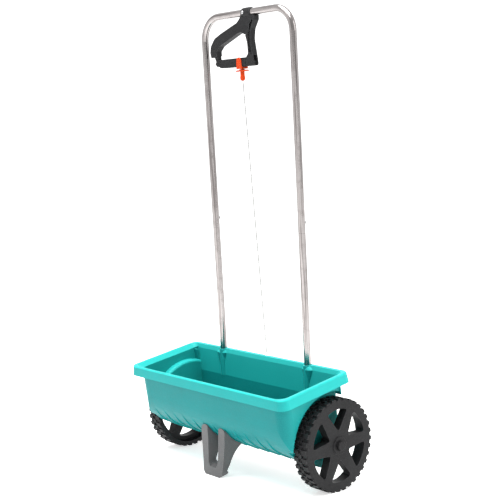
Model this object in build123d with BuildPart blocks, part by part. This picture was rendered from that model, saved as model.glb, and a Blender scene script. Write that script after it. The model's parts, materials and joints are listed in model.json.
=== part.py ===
from build123d import *
import os
from math import acos, asin, cos, degrees, hypot, radians, sin

# Garden drop spreader: a hopper on two wheels, pushed by a tall tube handle. A trigger in the handle's
# grip pulls a cord, which turns a curved shutter under the hopper and opens its row of slots.
#
# All lengths are millimetres and all angles degrees. Every piece is drawn in the level frame: the axle
# lies on X through the origin, the hopper's rim is level, the front is -Y, the user walks at +Y and up
# is +Z. Left and right are the walking user's, so left is +X. PARKED then tips the machine forward onto
# its foot and lifts it so that the wheels and the foot stand on Z = 0.

# --- Driving dimensions -------------------------------------------------------------------------------

PARK_TILT = 10.45
PARK_Y = 29.96

WALL = 3.0
FIT_GAP = 0.05
BODY_GAP = 0.4

WHEEL_R = 100.5
TREAD_R = 97.3
WHEEL_IN = 232.4
WHEEL_OUT = 268.6
WHEEL_W = WHEEL_OUT - WHEEL_IN
WINDOW_R = 79.0
WINDOW_HALF = 22.5
WINDOW_TIP_R = 33.0
SPOKE_ANGLE = -5.0
SPOKES = 6
SPOKE_DEPTH = 20.0
RIM_INNER_R = 90.0
LUGS = 36
LUG_H = WHEEL_R - TREAD_R
LUG_LENGTH = 9.0
LUG_PHASE = -90.0 - PARK_TILT
LUG_ROWS = ((0.0, 12.5, 0), (14.0, 8.0, 1), (23.5, 12.5, 0))
HUB_RISE = 2.2
HUB_R = 20.0
AXLE_R = 5.0
AXLE_END = 272.0
CAP_R = 11.0
CAP_OUT = 276.6

RIM_TOP = 143.9
RIM_X = 260.0
RIM_FRONT = -136.7
RIM_BACK = 65.7
RIM_CORNER = 17.0
SKIRT_H = 22.3
SKIRT_FLARE = 3.3
CROWN = 3.0
MOUTH_X = 252.0
MOUTH_FRONT = -132.0
MOUTH_BACK = 55.5
MOUTH_SLOPE_H = 9.5

BODY_X = 245.0
BODY_FRONT = -126.0
BODY_CORNER = 25.0
BACK_CORNER = 16.0
BEND_Y = -31.0
BEND_Z = 70.0
BEND_R = 95.0
BEND_TURN = 55.0
LIP_RUN = 70.4
LIP_WALL = 5.0
TROUGH_R = 40.0
KNEE_Y = 43.4
KNEE_Z = 81.0
BACK_TOP_Y = 54.0
ARCH_R = 112.0
ARCH_X = 228.0

SLOTS = 12
SLOT_PITCH = 35.0
SLOT_LENGTH = 22.0
SLOT_WIDTH = 6.0
SHUTTER_TURN = 10.0
SHUTTER_IN_R = 43.4
SHUTTER_WALL = 2.5
SHUTTER_FROM = 232.0
SHUTTER_TO = 344.0
TAB_Y = 49.5
FLUTE_DEPTH = 2.8
FLUTE_WIDTH = 33.0

TUBE_R = 8.0
TUBE_WALL = 1.2
HANDLE_LEAN = 6.32
HANDLE_X = 142.4
HANDLE_TOP_X = 146.0
HANDLE_Y = 57.9
HANDLE_TOP = 778.0
HANDLE_JOINT = 292.5
HANDLE_FOOT = -62.0
BOW_BEND_R = 52.0
SPIGOT_LENGTH = 45.0
SPIGOT_R = 6.7
JOINT_GAP = 0.4

SOCKET_R = 10.6
SOCKET_SCREW_S = -30.0
BULGE_X = 145.0
BULGE_HALF = 18.0
JOINT_SCREW_S = 315.0
SCREW_R = 2.2
SCREW_HEAD_R = 4.2
SCREW_HEAD_H = 2.6

BUSH_SEAT_R = 9.0
BUSH_FLANGE_R = 12.5
BUSH_FLANGE = 1.6
AGITATOR_HUB_R = 9.0
AGITATOR_END = 216.0
AGITATOR_PIN_X = 205.0
PADDLE_R = 36.0
PADDLE_HALF = 7.0
PADDLE_WALL = 3.0
DRIVE_PIN_X = 239.0
DRIVE_PIN_R = 2.0
LEDGE_FROM = 243.0
LEDGE_TURN = 94.0
SHELF_Z = 24.0
SPRING_X = -12.0
SPRING_Y = 50.0
SPRING_R = 4.2
WEB_Y = 44.0

FOOT_TOP = 34.0
FOOT_HALF = 40.0
FOOT_SOLE_HALF = 30.0
SOLE_CORNER_Z = -80.0
PRONG_GAP_TOP = 18.0
PRONG_GAP_LOW = 12.5
FOOT_HEEL = 14.0
FOOT_TOE_Y = -141.6
FOOT_BACK_Y = -121.0
FOOT_SCREW_X = 29.0
FOOT_SCREW_RUN = 5.0

GRIP_HALF = 7.5
TRIGGER_HALF = 8.0
TRIGGER_PIVOT_R = 18.0
TONGUE_HALF = 4.2
PIN_X = 15.0
PIN_S = 668.0
PIN_R = 2.5
TONGUE_R = 6.8
FORK_TOP = 684.0
PIN_COVER = 2.0
GRIP_HEAD_R = 10.8
GRIP_HEAD_FROM = -8.0
GRIP_HEAD_TO = 16.0
GRIP_SCREW_X = -1.0
GRIP_SCREW_SEAT = 9.4
STEM_R = 3.0
ADJUSTER_X = -22.0
NOZZLE_S = 630.0
CORD_R = 0.9
CORD_NOTCH_Y = 64.5
TAB_Z = -12.5
TAB_HALF = 1.5
CORD_NOTCH_X = 3.0

# Outlines in the handle's plane, as (width, height along the handle), and where their corners are round.
GRIP_FRAME_OUTLINE = (
    (16, 778),
    (16, 760),
    (13, 745),
    (7, 731),
    (0, 731),
    (-12, 736.5),
    (-25, 734),
    (-86, 711),
    (-97, 700),
    (-97, 664.5),
    (-102, 666.5),
    (-107.5, 672),
    (-103.5, 676),
    (-109, 688.5),
    (-117, 686.5),
    (-121, 697),
    (-118, 712),
    (-105, 729),
    (-83, 738),
    (-24, 758),
    (-14, 767),
    (-8, 778),
)
GRIP_FRAME_ROUNDS = (
    ((7, 731), 3),
    ((-12, 736.5), 3),
    ((-25, 734), 20),
    ((-86, 711), 9),
    ((-97, 664.5), 2),
    ((-117, 686.5), 3),
    ((-121, 697), 8),
    ((-118, 712), 14),
    ((-105, 729), 14),
    ((-83, 738), 20),
    ((-24, 758), 14),
)
GRIP_ARM_OUTLINE = (
    (25.5, 661),
    (24.5, 672),
    (17, 720),
    (21, 741),
    (33.5, 760),
    (34, 772),
    (16.2, 772),
    (16.2, 760),
    (13.2, 744.9),
    (7.2, 730.8),
    (0.5, 730.8),
    (7, 711),
    (8, 688),
    (6.2, 683),
    (6.2, 661),
)
GRIP_ARM_ROUNDS = (((25.5, 661), 4), ((17, 720), 30), ((21, 741), 14), ((33.5, 760), 5), ((7, 711), 30), ((8, 688), 5))
CLEVIS_FOOT = 661
TRIGGER_OUTLINE = ((6, 680.5), (6, 661), (-86, 661.5), (-96, 666), (-96, 680.5))
TRIGGER_ROUNDS = (((-86, 661.5), 10), ((-96, 680.5), 3))
NUT_PROFILE = (
    (3.15, 655.2),
    (7, 655.2),
    (7.5, 650.5),
    (5, 648.5),
    (4.6, 641),
    (5.7, 637),
    (5.2, 632.5),
    (3.4, 630),
    (1.6, 633.5),
    (1.6, 640),
    (3.15, 640.5),
)

os.makedirs("parts", exist_ok=True)

# --- Frames -------------------------------------------------------------------------------------------

PARKED = Location((0, PARK_Y, WHEEL_R), (PARK_TILT, 0, 0))

# The handle's own plane: local x is X, local y runs up the handle from the rim, and it faces the front.
lean = radians(HANDLE_LEAN)
BOW = Plane(origin=(0, HANDLE_Y, RIM_TOP), x_dir=(1, 0, 0), z_dir=(0, -cos(lean), sin(lean)))


def on_bow(x, s, forward=0.0):
    """The point at width x and height s along the handle, so far in front of its plane."""
    return BOW.from_local_coords((x, s, forward))


def tube_x(s):
    """Half the distance between the handle's tubes at height s: they spread a little upwards."""
    return HANDLE_X + (HANDLE_TOP_X - HANDLE_X) * s / HANDLE_TOP


def tube_plane(side, s):
    """A plane square to one of the handle's tubes at height s; local z runs up the tube."""
    low = on_bow(side * tube_x(0), 0)
    high = on_bow(side * tube_x(HANDLE_TOP), HANDLE_TOP)
    return Plane(on_bow(side * tube_x(s), s), z_dir=high - low)


def across(x):
    """A plane across the machine, seen from the left: local x is Y, local y is Z."""
    return Plane.YZ.offset(x)


# The front wall bends under to a slope that ends at the lip; the chute and trough lie behind it.
slope = radians(180 + BEND_TURN)
slope_out = Vector(cos(slope), sin(slope))
slope_down = Vector(-sin(slope), cos(slope))
bend_centre = Vector(BEND_Y, BEND_Z)
bend_end = bend_centre + slope_out * BEND_R
lip = bend_end + slope_down * LIP_RUN
lip_r = hypot(lip.X, lip.Y)


# The cord's two ends: it is straight, and it passes through the notch in the rim.
cord_top = on_bow(ADJUSTER_X, NOZZLE_S + 2.5)
notch = Vector(CORD_NOTCH_X, CORD_NOTCH_Y, RIM_TOP)
cord_eye = notch + (notch - cord_top) * ((RIM_TOP - TAB_Z) / (cord_top.Z - RIM_TOP))


def chute_turn(line_r, bend_r):
    """How far round the bend, of radius bend_r, the chute's line at line_r from the axle meets it."""
    from_centre = line_r - bend_centre.dot(slope_out)
    return BEND_TURN - degrees(acos(from_centre / bend_r))


def back_y(z, offset=0.0):
    """The back wall's inner face at height z, or a face so far behind it."""
    if z < KNEE_Z:
        return TROUGH_R + (KNEE_Y - TROUGH_R) * z / KNEE_Z + offset
    return KNEE_Y + (BACK_TOP_Y - KNEE_Y) * (z - KNEE_Z) / (RIM_TOP - KNEE_Z) + offset


def ground_z(y):
    """The height, in the level frame, of the ground under a point of the parked machine."""
    return (-WHEEL_R - y * sin(radians(PARK_TILT))) / cos(radians(PARK_TILT))


def foot_screw_plane(side):
    """Where a foot screw's head bears on the foot; local z points up into the hopper's slope."""
    spot = bend_end + slope_down * FOOT_SCREW_RUN + slope_out * 8
    return Plane((side * FOOT_SCREW_X, spot.X, spot.Y), z_dir=(0, -slope_out.X, -slope_out.Y))


def plan(half_x, front, back, front_corner, back_corner):
    """A rectangle in plan, half_x to each side, with its front and back corners rounded."""
    middle = (front + back) / 2
    with BuildSketch(mode=Mode.PRIVATE) as outline:
        with Locations((0, middle)):
            Rectangle(2 * half_x, back - front)
        fillet(outline.vertices().sort_by(Axis.Y)[:2], front_corner)
        fillet(outline.vertices().sort_by(Axis.Y)[-2:], back_corner)
    return outline.sketch


def arch_plugs(radius, inner_face, rounding):
    """The room that the two wheels need in the end walls: a round plug at each end of the axle."""
    with BuildPart() as plugs:
        for side in (-1, 1):
            with BuildSketch(across(side * inner_face)):
                Circle(radius)
            extrude(amount=side * 50)
        rims = plugs.edges().filter_by(GeomType.CIRCLE)
        fillet([e for e in rims if abs(e.center().X) < inner_face + 1], rounding)
    return plugs.part


# --- Hopper -------------------------------------------------------------------------------------------

# The space inside: the back wall, the trough round the axle, the chute and the front wall.
with BuildPart() as cavity:
    with BuildSketch(across(0)):
        with BuildLine():
            turn = chute_turn(TROUGH_R, BEND_R - WALL)
            trough = CenterArc((0, 0), TROUGH_R, 180 + BEND_TURN, 180 - BEND_TURN)
            bend = CenterArc(bend_centre, BEND_R - WALL, 180, turn)
            Line(bend @ 1, trough @ 0)
            above = RIM_TOP + 5
            back = Polyline(trough @ 1, (KNEE_Y, KNEE_Z), (back_y(above), above))
            Polyline(back @ 1, (BODY_FRONT + WALL, above), bend @ 0)
        make_face()
    extrude(amount=BODY_X - WALL, both=True)
    with BuildSketch(Plane.XY.offset(-WHEEL_R)):
        add(plan(BODY_X - WALL, BODY_FRONT + WALL, back_y(above), BODY_CORNER - WALL, BACK_CORNER - WALL))
    extrude(amount=2 * WHEEL_R + RIM_TOP, mode=Mode.INTERSECT)
    add(arch_plugs(ARCH_R + WALL, ARCH_X - WALL, 6.0), mode=Mode.SUBTRACT)

# The rolled rim is a hollow lip: a flat crown and a skirt that flares a little downwards.
with BuildPart() as rim:
    skirt_low = RIM_TOP - SKIRT_H
    for level, flare in ((skirt_low, SKIRT_FLARE), (RIM_TOP, 0.0)):
        with BuildSketch(Plane.XY.offset(level)):
            add(plan(RIM_X + flare, RIM_FRONT - flare, RIM_BACK + flare, RIM_CORNER + flare, RIM_CORNER + flare))
    loft()
    fillet(rim.faces().sort_by(Axis.Z)[-1].edges(), 3.5)
    for level, flare in ((skirt_low - 1, SKIRT_FLARE), (RIM_TOP - CROWN, 0.5)):
        with BuildSketch(Plane.XY.offset(level)):
            inset = flare - CROWN
            add(plan(RIM_X + inset, RIM_FRONT - inset, RIM_BACK + inset, RIM_CORNER + inset, RIM_CORNER + inset))
    loft(mode=Mode.SUBTRACT)
    # The wall under the sloping mouth.
    for level, spread in ((RIM_TOP - MOUTH_SLOPE_H - CROWN, 0.0), (RIM_TOP - 1.0, MOUTH_X - BODY_X + CROWN)):
        with BuildSketch(Plane.XY.offset(level)):
            add(plan(BODY_X + spread, BODY_FRONT - spread, back_y(level, WALL), BODY_CORNER, BACK_CORNER))
    loft()

# The sloping mouth itself.
with BuildPart() as mouth:
    slope_low = RIM_TOP - MOUTH_SLOPE_H
    with BuildSketch(Plane.XY.offset(slope_low)):
        add(plan(BODY_X - WALL, BODY_FRONT + WALL, back_y(slope_low), BODY_CORNER - WALL, BACK_CORNER - WALL))
    with BuildSketch(Plane.XY.offset(RIM_TOP)):
        add(plan(MOUTH_X, MOUTH_FRONT, MOUTH_BACK, BODY_CORNER - WALL, BACK_CORNER - WALL))
    loft()

# The gap between the trough and the front lip, where the shutter turns.
with BuildPart() as shutter_gap:
    with BuildSketch(across(0)):
        with BuildLine():
            turn = chute_turn(TROUGH_R + WALL, BEND_R - LIP_WALL)
            under = CenterArc((0, 0), TROUGH_R + WALL, 180 + BEND_TURN, 180 - BEND_TURN)
            bend = CenterArc(bend_centre, BEND_R - LIP_WALL, 180 + turn, BEND_TURN - turn)
            Line(bend @ 0, under @ 0)
            lip_inner = lip - slope_out * LIP_WALL
            lip_clear = lip + slope_out * 20
            below = (2 * TROUGH_R, -2 * TROUGH_R)
            beside = (2 * TROUGH_R, TROUGH_R)
            Polyline(bend @ 1, lip_inner, lip_clear, below, beside, (back_y(TROUGH_R, WALL), TROUGH_R), under @ 1)
        make_face()
    extrude(amount=ARCH_X - WALL, both=True)

# One flute of the front wall: a step at its right side (-X) that runs out to nothing at its left.
with BuildPart() as flute:
    for x, depth in ((-FLUTE_WIDTH / 2, FLUTE_DEPTH), (FLUTE_WIDTH / 2, 0.02)):
        with BuildSketch(across(x)):
            with BuildLine():
                outer = CenterArc(bend_centre, BEND_R + 2, 194, BEND_TURN - 14)
                start = bend_centre + Vector(cos(radians(196)), sin(radians(196))) * BEND_R
                deep = bend_centre + slope_out * (BEND_R - depth)
                floor = TangentArc(deep, start, tangent=-slope_down)
                far = slope_down * (LIP_RUN + 10)
                Polyline(floor @ 0, deep + far, outer @ 1 + far, outer @ 1)
                Line(outer @ 0, floor @ 1)
            make_face()
    loft()

with BuildPart() as hopper:
    # The walls' outside, and a lobe on each end wall that shrouds the shutter's end.
    with BuildSketch(across(0)):
        with BuildLine():
            top = RIM_TOP - CROWN
            lip_angle = 180 + degrees(acos(-lip.X / lip_r))
            front = Line((BODY_FRONT, top), (BODY_FRONT, BEND_Z))
            bend = CenterArc(bend_centre, BEND_R, 180, BEND_TURN)
            Line(bend @ 1, lip)
            lobe = CenterArc((0, 0), lip_r, lip_angle, 345 - lip_angle)
            lobe_top = (back_y(TROUGH_R, WALL), TROUGH_R)
            knee = (KNEE_Y + WALL, KNEE_Z)
            Polyline(lobe @ 1, lobe_top, knee, (back_y(top, WALL), top), front @ 0)
        make_face()
    extrude(amount=BODY_X, both=True)
    with BuildSketch(Plane.XY.offset(-WHEEL_R)):
        add(plan(BODY_X, BODY_FRONT, back_y(RIM_TOP, WALL), BODY_CORNER, BACK_CORNER))
    extrude(amount=2 * WHEEL_R + RIM_TOP, mode=Mode.INTERSECT)
    add(arch_plugs(ARCH_R, ARCH_X, 4.0), mode=Mode.SUBTRACT)
    add(rim.part)
    add(cavity.part, mode=Mode.SUBTRACT)
    add(mouth.part, mode=Mode.SUBTRACT)
    add(shutter_gap.part, mode=Mode.SUBTRACT)
    with GridLocations(SLOT_PITCH, 1, SLOTS, 1):
        add(flute.part, mode=Mode.SUBTRACT)

    # Tube sockets: a round boss behind the back wall and a pointed bulge on its inside.
    for side in (-1, 1):
        with BuildSketch(tube_plane(side, HANDLE_FOOT - 3)):
            Circle(SOCKET_R)
        extrude(amount=-HANDLE_FOOT + 1.5)
        with BuildSketch(Plane.XY.offset(KNEE_Z)):
            with Locations((side * BULGE_X, KNEE_Y + 4)):
                Ellipse(2, 2)
        with BuildSketch(Plane.XY.offset(RIM_TOP - MOUTH_SLOPE_H)):
            with Locations((side * BULGE_X, BACK_TOP_Y + 2)):
                Ellipse(BULGE_HALF, 10)
        loft()
        with BuildSketch(Plane.XY.offset(RIM_TOP - MOUTH_SLOPE_H)):
            with Locations((side * BULGE_X, BACK_TOP_Y + 2)):
                Ellipse(BULGE_HALF, 10)
        with BuildSketch(Plane.XY.offset(RIM_TOP - 0.5)):
            with Locations((side * HANDLE_X, HANDLE_Y)):
                Circle(TUBE_R + 1.2)
        loft()
    # Bosses for the axle's bushes, and the ledges that carry the shutter's ends.
    for side in (-1, 1):
        with BuildSketch(across(side * (ARCH_X - WALL))):
            Circle(BUSH_SEAT_R + 4)
        extrude(amount=-side * 5)
        with BuildSketch(across(side * (ARCH_X - WALL))):
            with BuildLine():
                ledge_in = CenterArc((0, 0), SHUTTER_IN_R + SHUTTER_WALL + BODY_GAP, LEDGE_FROM, LEDGE_TURN)
                ledge_out = CenterArc((0, 0), lip_r - 4, LEDGE_FROM, LEDGE_TURN)
                Line(ledge_in @ 0, ledge_out @ 0)
                Line(ledge_in @ 1, ledge_out @ 1)
            make_face()
        extrude(amount=-side * 6)
    # The shelf with a peg that the shutter's return spring pushes against.
    with BuildSketch(Plane.XY.offset(SHELF_Z)):
        with Locations((SPRING_X, (back_y(SHELF_Z) + SPRING_Y + 6) / 2)):
            RectangleRounded(18, SPRING_Y + 6 - back_y(SHELF_Z), 2)
    extrude(amount=WALL)
    with BuildSketch(Plane.XY.offset(SHELF_Z)):
        with Locations((SPRING_X, SPRING_Y)):
            Circle(SPRING_R - 1.4)
    extrude(amount=-6)
    # Webs between the rim and the end walls at the rear corners.
    with BuildSketch(Plane.XZ.offset(-WEB_Y)):
        for side in (-1, 1):
            with Locations((side * (BODY_X - 6), RIM_TOP - SKIRT_H - 8)):
                Rectangle(16, 36)
    extrude(amount=-WALL)
    # Holes: tube bores, bush seats, metering slots, the cord's notch and the screws' holes.
    for side in (-1, 1):
        with BuildSketch(tube_plane(side, HANDLE_FOOT)):
            Circle(TUBE_R + FIT_GAP)
        extrude(amount=-HANDLE_FOOT + 20, mode=Mode.SUBTRACT)
        with BuildSketch(Plane(on_bow(side * tube_x(SOCKET_SCREW_S), SOCKET_SCREW_S), z_dir=-BOW.z_dir)):
            Circle(SCREW_R)
        extrude(amount=20, mode=Mode.SUBTRACT)
    with BuildSketch(across(0)):
        Circle(BUSH_SEAT_R)
    extrude(amount=BODY_X, both=True, mode=Mode.SUBTRACT)
    with BuildSketch(Plane.XY.offset(-TROUGH_R + 2)):
        with GridLocations(SLOT_PITCH, 1, SLOTS, 1):
            RectangleRounded(SLOT_LENGTH, SLOT_WIDTH, 2)
    extrude(amount=-6, mode=Mode.SUBTRACT)
    with BuildSketch(Plane.XY.offset(RIM_TOP - SKIRT_H - 8)):
        with Locations((3, RIM_BACK + 1.5)):
            RectangleRounded(14, 14, 4)
    extrude(amount=SKIRT_H + 10, mode=Mode.SUBTRACT)
    with BuildSketch(Plane.XZ.offset(-lip.X + 1)):
        with Locations((-4, lip.Y - 6)):
            RectangleRounded(52, 19, 2)
    extrude(amount=12, both=True, mode=Mode.SUBTRACT)
    for side in (-1, 1):
        with BuildSketch(foot_screw_plane(side)):
            Circle(SCREW_R)
        extrude(amount=30, mode=Mode.SUBTRACT)

# --- Foot ---------------------------------------------------------------------------------------------

# A two-pronged stand under the front wall, narrower and thinner towards the ground.
with BuildPart() as foot:
    with BuildSketch(across(0)):
        with BuildLine():
            top_angle = 180 + degrees(asin((BEND_Z - FOOT_TOP) / (BEND_R + 0.15)))
            hug = CenterArc(bend_centre, BEND_R + 0.15, top_angle, 180 + BEND_TURN - top_angle)
            heel = hug @ 1 + slope_down * FOOT_HEEL
            Line(hug @ 1, heel)
            rear = Spline(heel, (-104, -37), (-117, -62), (FOOT_BACK_Y, ground_z(FOOT_BACK_Y)))
            toe = Line(rear @ 1, (FOOT_TOE_Y, ground_z(FOOT_TOE_Y)))
            shin = Spline(toe @ 1, (-133, -40), (-125, 4), hug @ 0 + Vector(-1.2, 0))
            Line(shin @ 1, hug @ 0)
        make_face()
    extrude(amount=FOOT_HALF, both=True)
    # In the front view the prongs' tops are round and the foot narrows to a sole with round corners.
    with BuildSketch(Plane.XZ) as front_view:
        with BuildLine():
            Polyline(
                (-FOOT_HALF, FOOT_TOP),
                (-FOOT_HALF + 1, 0),
                (-FOOT_SOLE_HALF - 3, -52),
                (-FOOT_SOLE_HALF, SOLE_CORNER_Z),
                (FOOT_SOLE_HALF, SOLE_CORNER_Z),
                (FOOT_SOLE_HALF + 3, -52),
                (FOOT_HALF - 1, 0),
                (FOOT_HALF, FOOT_TOP),
                (PRONG_GAP_TOP, FOOT_TOP),
                (PRONG_GAP_LOW, -52),
                (-PRONG_GAP_LOW, -52),
                (-PRONG_GAP_TOP, FOOT_TOP),
                close=True,
            )
        make_face()
        for side in (-1, 1):
            for point, radius in (
                ((side * FOOT_HALF, FOOT_TOP), 11.5),
                ((side * PRONG_GAP_TOP, FOOT_TOP), 8),
                ((side * PRONG_GAP_LOW, -52), 5),
                ((side * FOOT_SOLE_HALF, SOLE_CORNER_Z), 14),
            ):
                fillet(front_view.vertices().sort_by_distance(point)[0], radius)
    extrude(amount=200, mode=Mode.INTERSECT)
    # The screws' holes and the pockets for their heads.
    for side in (-1, 1):
        with BuildSketch(foot_screw_plane(side)):
            Circle(SCREW_R)
        extrude(amount=30, mode=Mode.SUBTRACT)
        with BuildSketch(foot_screw_plane(side)):
            Circle(SCREW_HEAD_R + 0.3)
        extrude(amount=-60, mode=Mode.SUBTRACT)


# --- Axle, bushes and agitator ------------------------------------------------------------------------

with BuildPart() as axle:
    with BuildSketch(Plane.YZ):
        Circle(AXLE_R)
    extrude(amount=AXLE_END, both=True)
    chamfer(axle.edges().filter_by(GeomType.CIRCLE), 0.6)
    for x in (DRIVE_PIN_X, AGITATOR_PIN_X):
        with BuildSketch(Plane.XY):
            with Locations((x, 0)):
                Circle(DRIVE_PIN_R)
        extrude(amount=AXLE_R + 1, both=True, mode=Mode.SUBTRACT)


def bush(side):
    """A flanged plain bearing pressed into one end wall."""
    with BuildPart() as sleeve:
        with BuildSketch(across(side * (ARCH_X - WALL - 5.5))):
            Circle(BUSH_SEAT_R)
        extrude(amount=side * (WALL + 5.5))
        with BuildSketch(across(side * ARCH_X)):
            Circle(BUSH_FLANGE_R)
        extrude(amount=side * BUSH_FLANGE)
        with BuildSketch(Plane.YZ):
            Circle(AXLE_R + FIT_GAP)
        extrude(amount=BODY_X, both=True, mode=Mode.SUBTRACT)
    return sleeve


bush_left = bush(1)
bush_right = bush(-1)

# Flat paddles, one over each metering slot and each turned from the last.
with BuildPart() as paddles:
    for n in range(SLOTS):
        middle = (n - (SLOTS - 1) / 2) * SLOT_PITCH
        with BuildSketch(across(middle)):
            RectangleRounded(2 * PADDLE_R, PADDLE_WALL, 1, rotation=n * 45)
            Circle(AXLE_R, mode=Mode.SUBTRACT)
        extrude(amount=PADDLE_HALF, both=True)

# The tube on the axle that they are pushed through.
with BuildPart() as agitator:
    with BuildSketch(Plane.YZ):
        Circle(AGITATOR_HUB_R)
    extrude(amount=AGITATOR_END, both=True)
    add(paddles.part, mode=Mode.SUBTRACT)
    with BuildSketch(Plane.YZ):
        Circle(AXLE_R)
    extrude(amount=BODY_X, both=True, mode=Mode.SUBTRACT)
    with BuildSketch(Plane.XY):
        with Locations((AGITATOR_PIN_X, 0)):
            Circle(DRIVE_PIN_R)
    extrude(amount=2 * AGITATOR_HUB_R, both=True, mode=Mode.SUBTRACT)

# Cross pins: one drives the agitator, the other is driven by the left wheel.
with BuildPart() as drive_pins:
    for x, half_length in ((AGITATOR_PIN_X, AGITATOR_HUB_R - 0.5), (DRIVE_PIN_X, HUB_R - 4)):
        with BuildSketch(Plane.XY):
            with Locations((x, 0)):
                Circle(DRIVE_PIN_R)
        extrude(amount=half_length, both=True)

# --- Wheels -------------------------------------------------------------------------------------------

# One of the openings between two spokes, pointing at the axle.
with BuildSketch() as window:
    with BuildLine():
        arch = CenterArc((0, 0), WINDOW_R, -WINDOW_HALF, 2 * WINDOW_HALF)
        Polyline(arch @ 1, (WINDOW_TIP_R - 2.5, 0), arch @ 0)
    make_face()
    fillet(window.vertices(), 4.5)


def wheel(side, bore):
    """A moulded wheel: six spokes, a rim with a hollow back and three rows of lugs."""
    with BuildPart() as body:
        with BuildSketch(across(side * WHEEL_IN)):
            Circle(TREAD_R)
        extrude(amount=side * WHEEL_W)
        with BuildSketch(across(side * WHEEL_OUT)):
            Circle(HUB_R)
        extrude(amount=side * HUB_RISE)
        circles = body.edges().filter_by(GeomType.CIRCLE)
        fillet(circles.filter_by(lambda e: e.radius > TREAD_R - 1), 1.6)
        hub_edge = body.edges().filter_by(GeomType.CIRCLE).sort_by(Axis.X)[-1 if side > 0 else 0]
        fillet(hub_edge, 1.6)
        with BuildSketch(across(side * WHEEL_IN)):
            with PolarLocations(0, SPOKES, start_angle=SPOKE_ANGLE + 30):
                add(window.sketch)
        extrude(amount=side * WHEEL_W, mode=Mode.SUBTRACT)
        front_rims = body.faces().filter_by(GeomType.PLANE).filter_by(Axis.X).group_by(SortBy.AREA)[-1]
        outer_face = front_rims.sort_by(Axis.X)[-1 if side > 0 else 0]
        fillet(outer_face.inner_wires().edges().filter_by(lambda e: hypot(e.center().Y, e.center().Z) > HUB_R + 5), 3.0)
        # Behind the spokes the rim is hollow.
        with BuildSketch(across(side * WHEEL_IN)):
            Circle(RIM_INNER_R)
            Circle(HUB_R, mode=Mode.SUBTRACT)
        extrude(amount=side * (WHEEL_W - SPOKE_DEPTH), mode=Mode.SUBTRACT)
        # Lugs: the outer and inner rows side by side, the middle row half a pitch on.
        for inner, width, phase in LUG_ROWS:
            with BuildSketch(across(side * (WHEEL_IN + inner))):
                Circle(TREAD_R - 2)
                with PolarLocations(WHEEL_R - LUG_H / 2 - 1, LUGS, start_angle=LUG_PHASE + phase * 180 / LUGS):
                    Rectangle(LUG_H + 2, LUG_LENGTH)
                Circle(TREAD_R - 3, mode=Mode.SUBTRACT)
            extrude(amount=side * width)
        with BuildSketch(across(side * WHEEL_IN)):
            Circle(bore)
        extrude(amount=side * (WHEEL_W + 2 * HUB_RISE), mode=Mode.SUBTRACT)
    return body


wheel_left = wheel(1, AXLE_R)
wheel_right = wheel(-1, AXLE_R + FIT_GAP)
with BuildPart() as pin_way:
    with BuildSketch(Plane.XY):
        with Locations((DRIVE_PIN_X, 0)):
            Circle(DRIVE_PIN_R)
    extrude(amount=HUB_R - 4, both=True)
wheel_left.part = wheel_left.part - pin_way.part


def hub_cap(side):
    """A domed cap pushed onto one end of the axle."""
    start = WHEEL_OUT + HUB_RISE + BODY_GAP
    with BuildPart() as cap:
        with BuildSketch(across(side * start)):
            Circle(CAP_R)
        extrude(amount=side * (CAP_OUT - start))
        fillet(cap.faces().sort_by(Axis.X)[-1 if side > 0 else 0].edges(), 2.2)
        with BuildSketch(across(side * start)):
            Circle(AXLE_R)
        extrude(amount=side * (AXLE_END - start), mode=Mode.SUBTRACT)
    return cap


hub_cap_left = hub_cap(1)
hub_cap_right = hub_cap(-1)

with BuildPart() as wheel_washers:
    for side in (-1, 1):
        with BuildSketch(across(side * (ARCH_X + BUSH_FLANGE + BODY_GAP))):
            Circle(AXLE_R + 6)
            Circle(AXLE_R, mode=Mode.SUBTRACT)
        extrude(amount=side * 1.6)

# --- Shutter ------------------------------------------------------------------------------------------

# A curved plate under the trough. Its slots stand clear of the trough's until the cord turns it.
with BuildPart() as shutter:
    with BuildSketch(Plane.YZ):
        with BuildLine():
            inner = CenterArc((0, 0), SHUTTER_IN_R, SHUTTER_FROM, SHUTTER_TO - SHUTTER_FROM)
            outer = CenterArc((0, 0), SHUTTER_IN_R + SHUTTER_WALL, SHUTTER_FROM, SHUTTER_TO - SHUTTER_FROM)
            Line(inner @ 0, outer @ 0)
            Line(inner @ 1, outer @ 1)
        make_face()
    extrude(amount=ARCH_X - WALL - 0.6, both=True)
    with BuildSketch(Plane(Location((0, 0, 0), (-SHUTTER_TURN, 0, 0))).offset(-TROUGH_R + 2)):
        with GridLocations(SLOT_PITCH, 1, SLOTS, 1):
            RectangleRounded(SLOT_LENGTH, SLOT_WIDTH, 2)
    extrude(amount=-12, mode=Mode.SUBTRACT)
    with BuildSketch(Plane.XY.offset(TAB_Z - TAB_HALF)) as tab:
        with Locations(((SPRING_X + cord_eye.X) / 2, TAB_Y)):
            Rectangle(cord_eye.X - SPRING_X + 14, 14.5)
        fillet(tab.vertices().sort_by(Axis.Y)[-2:], 4)
    extrude(amount=2 * TAB_HALF)
    with BuildSketch(Plane.XY.offset(TAB_Z - TAB_HALF)):
        with Locations((cord_eye.X, cord_eye.Y)):
            Circle(CORD_R + 0.6)
    extrude(amount=2 * TAB_HALF, mode=Mode.SUBTRACT)

# The spring that closes the shutter, between the hopper's shelf and the shutter's tab.
with BuildPart() as return_spring:
    wire_r = 0.5
    low = TAB_Z + TAB_HALF + wire_r + 0.35
    with BuildLine():
        coil = Helix(4.8, SHELF_Z - wire_r - low - 0.2, SPRING_R - wire_r, center=(SPRING_X, SPRING_Y, low))
    with BuildSketch(Plane(coil @ 0, z_dir=coil % 0)):
        Circle(wire_r)
    sweep(is_frenet=True)

# --- Handle -------------------------------------------------------------------------------------------


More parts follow.
